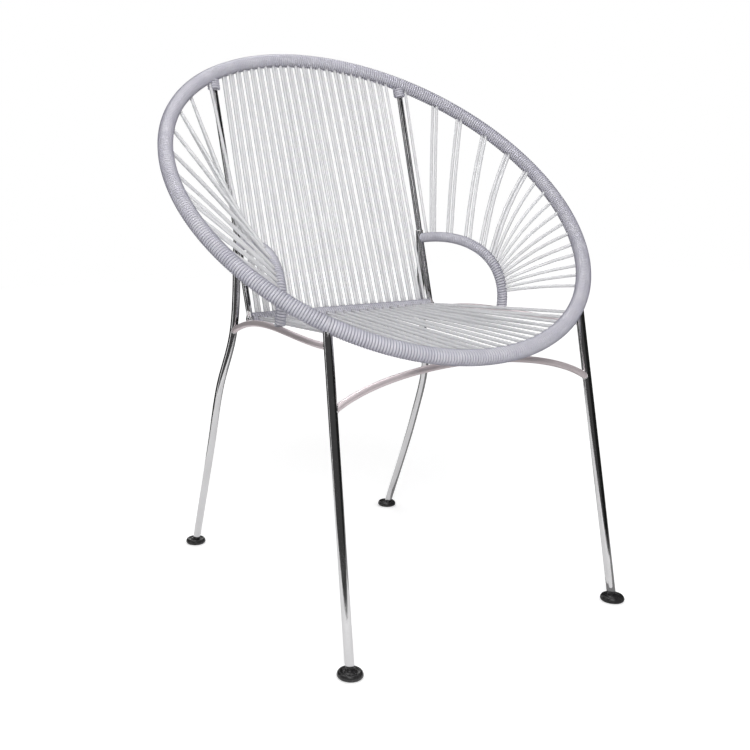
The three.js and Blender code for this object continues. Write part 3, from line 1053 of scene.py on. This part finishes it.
@dataclass
class Stringing:
    """The back, the seat and the two side fans of cord, and the cord wound on their rods.

    Angles are in degrees on the hoop. A fan has one strand, then pairs, then singles, from the
    back to the front.

    Attributes:
        strands: strands in the back, and in the seat.
        half_span: half the width that they fill on the rear bar.
        seat_half_degrees: half the hoop's front that the seat's main strands fill.
        seat_outer_degrees: where the two outer strands of each side land, from the hoop's front.
        fan_pair_half: half the angle between the two strands of a pair.
        fan_pair_half_shares: half the share of the arch between them.
        fan_stagger: how far the single strands of one face are shifted along the hoop.
        fan_degrees: angles on the hoop for the next two tables.
        fan_arch_shares: the share of the arch at which a strand from there ends.
        fan_bows: how far it bows.
        arch_bare_share: the share of the arch that is left bare at each end.
        entry: the strands' entry angle, round the rod.
        collar: where a post is wrapped below the hoop: from and to, off the hoop's middle line.
    """

    frame: ChairFrame
    strands: int = 43
    half_span: float = 0.167
    seat_half_degrees: float = 29.5
    seat_outer_degrees: tuple = (35.2, 33.6)
    fan_first: float = 35.6
    fan_pairs: tuple = (45.9, 54.5, 63.9, 73.5, 82.0)
    fan_pair_half: float = 0.58
    fan_single: float = 86.8
    fan_single_step: float = 4.45
    fan_singles: int = 11
    fan_stagger: float = 0.25
    fan_degrees: tuple = (35.6, 46, 55, 64, 74, 84, 132)
    fan_arch_shares: tuple = (0.07, 0.12, 0.28, 0.43, 0.56, 0.66, 0.88)
    fan_bows: tuple = (0.0, 0.001, 0.002, 0.0035, 0.006, 0.008, 0.003)
    fan_pair_half_shares: tuple = (0.021, 0.022, 0.022, 0.018, 0.013)
    arch_bare_share: float = 0.03
    entry: float = 12.0
    collar: tuple = (0.0225, 0.0105)

    def _back(self) -> Surface:
        """The strands between the hoop's top and the rear bar."""
        places = np.linspace(-self.half_span, self.half_span, self.strands)
        return self._from_hoop(np.arcsin(places / self.frame.radius), places, RANDOM_SEED)

    def _seat(self) -> Surface:
        """Strings the seat.

        Returns:
            The strands between the hoop's front and the rear bar.
        """
        outer, half = np.array(self.seat_outer_degrees), self.seat_half_degrees
        main = np.linspace(half, -half, self.strands - 2 * len(outer))
        front = np.pi - np.radians(np.concatenate([outer, main, -outer[::-1]]))
        places = np.linspace(self.half_span, -self.half_span, self.strands)
        return self._from_hoop(front, places, RANDOM_SEED + 1)

    def _from_hoop(self, angles: Array, places: Array, seed: int) -> Surface:
        """Strands from angles on the hoop to places on the rear bar."""
        ends = (self.frame.hoop, angles), (self.frame.rear_bar, places)
        return Panel(*ends, self.entry, seed).surface()

    def _fan(self) -> Surface:
        """Strings the right fan.

        Returns:
            The strands between the hoop's right side and the right arch.
        """
        way = np.tile([-1.0, 1.0], len(self.fan_pairs))
        singles = self.fan_single + self.fan_single_step * np.arange(self.fan_singles)
        alone = np.zeros(self.fan_singles)
        middles = np.concatenate([[self.fan_first], np.repeat(self.fan_pairs, 2), singles])
        ways = np.concatenate([[0], way, alone])
        stagger = np.where(np.arange(len(middles)) % 2 == 0, 1, -1) * (middles >= self.fan_single)
        angles = np.radians(middles + ways * self.fan_pair_half + stagger * self.fan_stagger)
        halves = np.concatenate([[0], way * np.repeat(self.fan_pair_half_shares, 2), alone])
        shares = np.interp(middles, self.fan_degrees, self.fan_arch_shares) + halves
        bow = np.interp(middles, self.fan_degrees, self.fan_bows)
        ends = (self.frame.hoop, angles), (self.frame.arch, shares)
        return Panel(*ends, self.entry, RANDOM_SEED + 2, bow=bow).surface()

    def build(self, finishes: Finishes) -> None:
        """Makes the four panels and the windings.

        Args:
            finishes: the chair's materials.
        """
        frame, stock, slot = self.frame, WindingStock(), Slot.CORD
        post, leg, rail = frame.post_step, frame.leg_angle, frame.bar_half - STOCK.brace
        piece("back_strands", self._back(), finishes.cord, slot, "back_cords")
        piece("seat_strands", self._seat(), finishes.cord, slot, "seat_cords")
        top = frame.hoop.winding(-post, post, stock)
        rear = frame.rear_bar.winding(-rail, rail, stock)
        collar = frame.post_rod.winding(*(frame.post_rod.lengths[-1] - self.collar), stock)
        crown = Surface.joined([top, rear, collar, collar.on(Side.LEFT)])
        piece("back_winding", crown, finishes.wound, slot, "back_cords")
        lip = frame.hoop.winding(leg, 2 * np.pi - leg, stock)
        piece("seat_winding", lip, finishes.wound, slot, "seat_cords")
        flank = frame.hoop.winding(post, leg, stock)
        arch = frame.arch.winding(self.arch_bare_share, 1 - self.arch_bare_share, stock)
        fan, wound = self._fan(), Surface.joined([flank, arch])
        for side in Side:
            node = f"side_cords_{side.word}"
            piece(f"side_strands_{side.word}", fan.on(side), finishes.cord, slot, node)
            piece(f"side_winding_{side.word}", wound.on(side), finishes.wound, slot, node)


@dataclass
class Glides:
    """Dished black buttons under the legs.

    Attributes:
        outline_shares: shares of the button's half-width and height, from the middle of its foot
            to its dish, which ends at the collar round the leg.
    """

    outline_shares: tuple = (
        *((0.0, 0.0), (0.72, 0.0), (0.80, 0.0), (0.88, 0.06), (0.96, 0.2), (1.0, 0.38)),
        *((0.99, 0.56), (0.955, 0.74), (0.9, 0.9), (0.84, 0.985), (0.78, 1.0), (0.72, 0.965)),
        *((0.64, 0.87), (0.57, 0.82), (0.5, 0.83), (0.455, 0.89), (0.42, 0.97), (0.36, 0.99)),
        (0.0, 0.99),
    )

    def build(self, finishes: Finishes) -> None:
        """Makes the four glides, each in the box of the solid that it stands for.

        Args:
            finishes: the chair's materials.
        """
        for end in ("front", "back"):
            for side in Side:
                node = f"{end}_glide_{side.word}"
                low, high = (np.array(corner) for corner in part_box(node))
                sizes = np.array([(high[0] - low[0]) / 2, high[2] - low[2]])
                outline = np.array(self.outline_shares) * sizes
                shape = revolved(outline, (low + high) / 2 * FLOOR_PLANE)
                piece(f"{end}_button_{side.word}", shape, finishes.glide, Slot.GLIDE, node)


@dataclass
class Studio:
    """A plain pale floor, soft light and the camera.

    Attributes:
        eye: where the camera is.
        yaw: how far it looks round from +Y towards +X, in degrees.
        pitch: how far it looks down.
        roll: how far it is turned about its own line of sight.
        focal_px: focal length in pixels of the photograph's frame.
        centre_px: where its line of sight meets the picture.
        room_light: strength of the even light from all round.
        floor_glow: what the floor adds to its shade where it is seen, near the chair and far off.
        floor_reach: how near and how far that is.
        floor_gloss: the share of that which gloss sees.
        panels: name, place, size and power of each soft lamp.
        panels_aim: the point that they face.
        card_ring: name, headings in degrees, radius and height of both edges, and shade of each
            card.
        card_stretches: flat stretches that a card is bent in.
        overhead_span: half the overhead panel's width, where it starts and ends, and its height.
        overhead_glow: its strength.
    """

    eye: tuple = (-0.8550, -1.2364, 0.6022)
    yaw: float = 27.6
    pitch: float = 7.6
    roll: float = -1.1
    focal_px: float = 943.0
    centre_px: tuple = (262.5, 330.7)
    frame_px: float = 750.0
    sensor_mm: float = 36.0
    room_light: float = 0.48
    floor_half: float = 6.0
    floor_shade: tuple = (0.8, 0.8, 0.8)
    floor_glow: tuple = (0.42, 0.68)
    floor_reach: tuple = (0.8, 2.5)
    floor_gloss: float = 0.3
    panels: tuple = (
        ("key", (-1.3, -1.9, 1.9), 0.9, 42.0),
        ("fill", (2.0, -1.2, 1.1), 1.4, 8.0),
        ("top", (0.2, 0.8, 2.6), 1.8, 12.0),
    )
    panels_aim: tuple = (0.0, 0.0, 0.45)
    card_ring: tuple = (
        ("card_front", (172, 275), (0.95, 0.0), (0.95, 2.15), 0.06),
        ("card_right", (275, 430), (0.95, 0.0), (0.95, 2.15), 0.012),
        ("card_rear_left", (95, 158), (0.95, 0.0), (0.95, 2.15), 0.012),
        ("card_low", (-60, 50), (0.3, 0.002), (1.6, 0.002), 0.25),
    )
    card_stretches: int = 32
    overhead_span: tuple = (1.6, 0.25, 1.2, 2.3)
    overhead_glow: float = 6.5

    def camera(self) -> None:
        """Places the camera at the photograph's viewpoint."""
        data = bpy.data.cameras.new("camera")
        data.sensor_width = self.sensor_mm
        data.lens = self.focal_px / self.frame_px * self.sensor_mm
        data.shift_x = (self.frame_px / 2 - self.centre_px[0]) / self.frame_px
        data.shift_y = (self.centre_px[1] - self.frame_px / 2) / self.frame_px
        camera = new_object("camera", data)
        place = Matrix.Translation(self.eye)
        for degrees, axis in ((-self.yaw, "Z"), (90 - self.pitch, "X"), (self.roll, "Z")):
            place = place @ Matrix.Rotation(math.radians(degrees), 4, axis)
        camera.matrix_world = place
        bpy.context.scene.camera = camera

    def _seen(self, sheet: Sheet, gloss: float) -> Socket:
        """Tells apart the rays that see the backdrop itself.

        Args:
            sheet: where the nodes go.
            gloss: the value for rays by gloss.

        Returns:
            That value, 1 for rays from the camera or through glass, and 0 for all others.
        """
        path = sheet.add("ShaderNodeLightPath").outputs
        shown = sheet.combine("MULTIPLY", path["Is Glossy Ray"], gloss)
        some = sheet.combine("MAXIMUM", path["Is Camera Ray"], shown)
        return sheet.combine("MAXIMUM", some, path["Is Transmission Ray"])

    def world(self) -> None:
        """Lights the room evenly and shows it white behind the chair."""
        world = bpy.data.worlds.new("room")
        world.use_nodes = True
        bpy.context.scene.world = world
        sheet = Sheet(world.node_tree)
        back = next(node for node in world.node_tree.nodes if node.type == "BACKGROUND")
        strength = sheet.ramp(self._seen(sheet, 1.0), self.room_light, 1.0, (0, 1))
        sheet.feed(back, {"Color": WHITE, "Strength": strength})

    def _emptied(self, name: str) -> tuple[Material, Sheet]:
        """Starts a material that has no shader.

        Args:
            name: the material's name.

        Returns:
            The material and the sheet for its nodes.
        """
        material, sheet, _ = new_material(name, WHITE[:3])
        sheet.tree.nodes.clear()
        return material, sheet

    def _level(self, name: str, start: tuple, end: tuple, height: float) -> bpy.types.Mesh:
        """Makes a level rectangle.

        Args:
            name: the mesh's name.
            start: x and y of one corner.
            end: x and y of the opposite one.
            height: z of all four.

        Returns:
            Its mesh.
        """
        mesh = bpy.data.meshes.new(name)
        edge = [start, (end[0], start[1]), end, (start[0], end[1])]
        mesh.from_pydata([(*corner, height) for corner in edge], [], [(0, 1, 2, 3)])
        return mesh

    def floor(self) -> None:
        """A pale floor that keeps the chair's shadow."""
        half = self.floor_half
        mesh = self._level("floor", (-half, -half), (half, half), 0)
        material, sheet = self._emptied("pale floor")
        matt = sheet.add("ShaderNodeBsdfDiffuse", {"Color": (*self.floor_shade, 1)})
        place = sheet.add("ShaderNodeTexCoord").outputs["Object"]
        away = sheet.add("ShaderNodeVectorMath", {0: place}, operation="LENGTH").outputs["Value"]
        level = sheet.ramp(away, *self.floor_glow, self.floor_reach)
        strength = sheet.combine("MULTIPLY", level, self._seen(sheet, self.floor_gloss))
        glow = sheet.add("ShaderNodeEmission", {"Color": WHITE, "Strength": strength})
        both = sheet.add("ShaderNodeAddShader", {0: matt.outputs[0], 1: glow.outputs[0]})
        sheet.add("ShaderNodeOutputMaterial", {"Surface": both.outputs[0]})
        mesh.materials.append(material)
        floor = new_object("floor", mesh)

    def lamps(self) -> None:
        """Three soft panels: above on the left, low on the right and one overhead."""
        for name, place, size, power in self.panels:
            data = bpy.data.lights.new(name, "AREA")
            data.size = size
            data.energy = power
            turn = (Vector(self.panels_aim) - Vector(place)).to_track_quat("-Z", "Y")
            lamp = new_object(name, data)
            lamp.matrix_world = Matrix.Translation(place) @ turn.to_matrix().to_4x4()

    def _glowing(self, mesh: bpy.types.Mesh, strength: float) -> None:
        """Makes a mesh an even glow that only gloss sees.

        Args:
            mesh: the mesh, already in place.
            strength: how strong the glow is.
        """
        material, sheet = self._emptied(mesh.name)
        glow = sheet.add("ShaderNodeEmission", {"Color": WHITE, "Strength": strength})
        sheet.add("ShaderNodeOutputMaterial", {"Surface": glow.outputs[0]})
        mesh.materials.append(material)
        made = new_object(mesh.name, mesh)
        made.visible_camera = made.visible_diffuse = made.visible_transmission = False
        made.visible_volume_scatter = made.visible_shadow = False

    def cards(self) -> None:
        """Dark curved cards round the chair, which only its gloss sees, to edge the plate in black.

        A card is the strip between two arcs x = r cos a, y = r sin a, each at its own radius r and
        height, for a between two headings. One of them lies flat beside the chair.
        """
        for name, headings, *edges, shade in self.card_ring:
            turn = np.radians(np.linspace(*headings, self.card_stretches + 1))
            spokes = np.stack([np.cos(turn), np.sin(turn), 0 * turn], axis=-1)
            arcs = [radius * spokes + height * Z_AXIS for radius, height in edges]
            low = np.arange(self.card_stretches)
            faces = np.stack([low, low + 1, low + 1 + len(turn), low + len(turn)], axis=-1)
            mesh = bpy.data.meshes.new(name)
            mesh.from_pydata(np.vstack(arcs), [], faces)
            self._glowing(mesh, shade)

    def overhead(self) -> None:
        """A wide bright panel above, which only gloss sees, to draw a light streak on the cord."""
        half, front, back, height = self.overhead_span
        mesh = self._level("overhead", (half, front), (-half, back), height)
        self._glowing(mesh, self.overhead_glow)

    def build(self) -> None:
        """Sets up the camera, world, floor, lamps, cards and the panel overhead."""
        self.camera()
        self.world()
        self.floor()
        self.lamps()
        self.cards()
        self.overhead()
        bpy.context.scene.view_settings.view_transform = "Standard"


def corners(box: tuple) -> list[list[float]]:
    """A box as plain lists of numbers."""
    return [[float(value) for value in corner] for corner in box]


def main() -> None:
    """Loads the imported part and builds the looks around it."""
    logging.basicConfig(level=logging.INFO, format="%(name)s: %(message)s")
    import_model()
    studio = Studio()
    studio.build()
    finishes = Finishes()
    frame = ChairFrame()
    frame.build(finishes)
    WeldBeads(frame).build(finishes)
    Stringing(frame).build(finishes)
    Glides().build(finishes)
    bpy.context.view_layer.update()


if __name__ == "__main__":
    main()
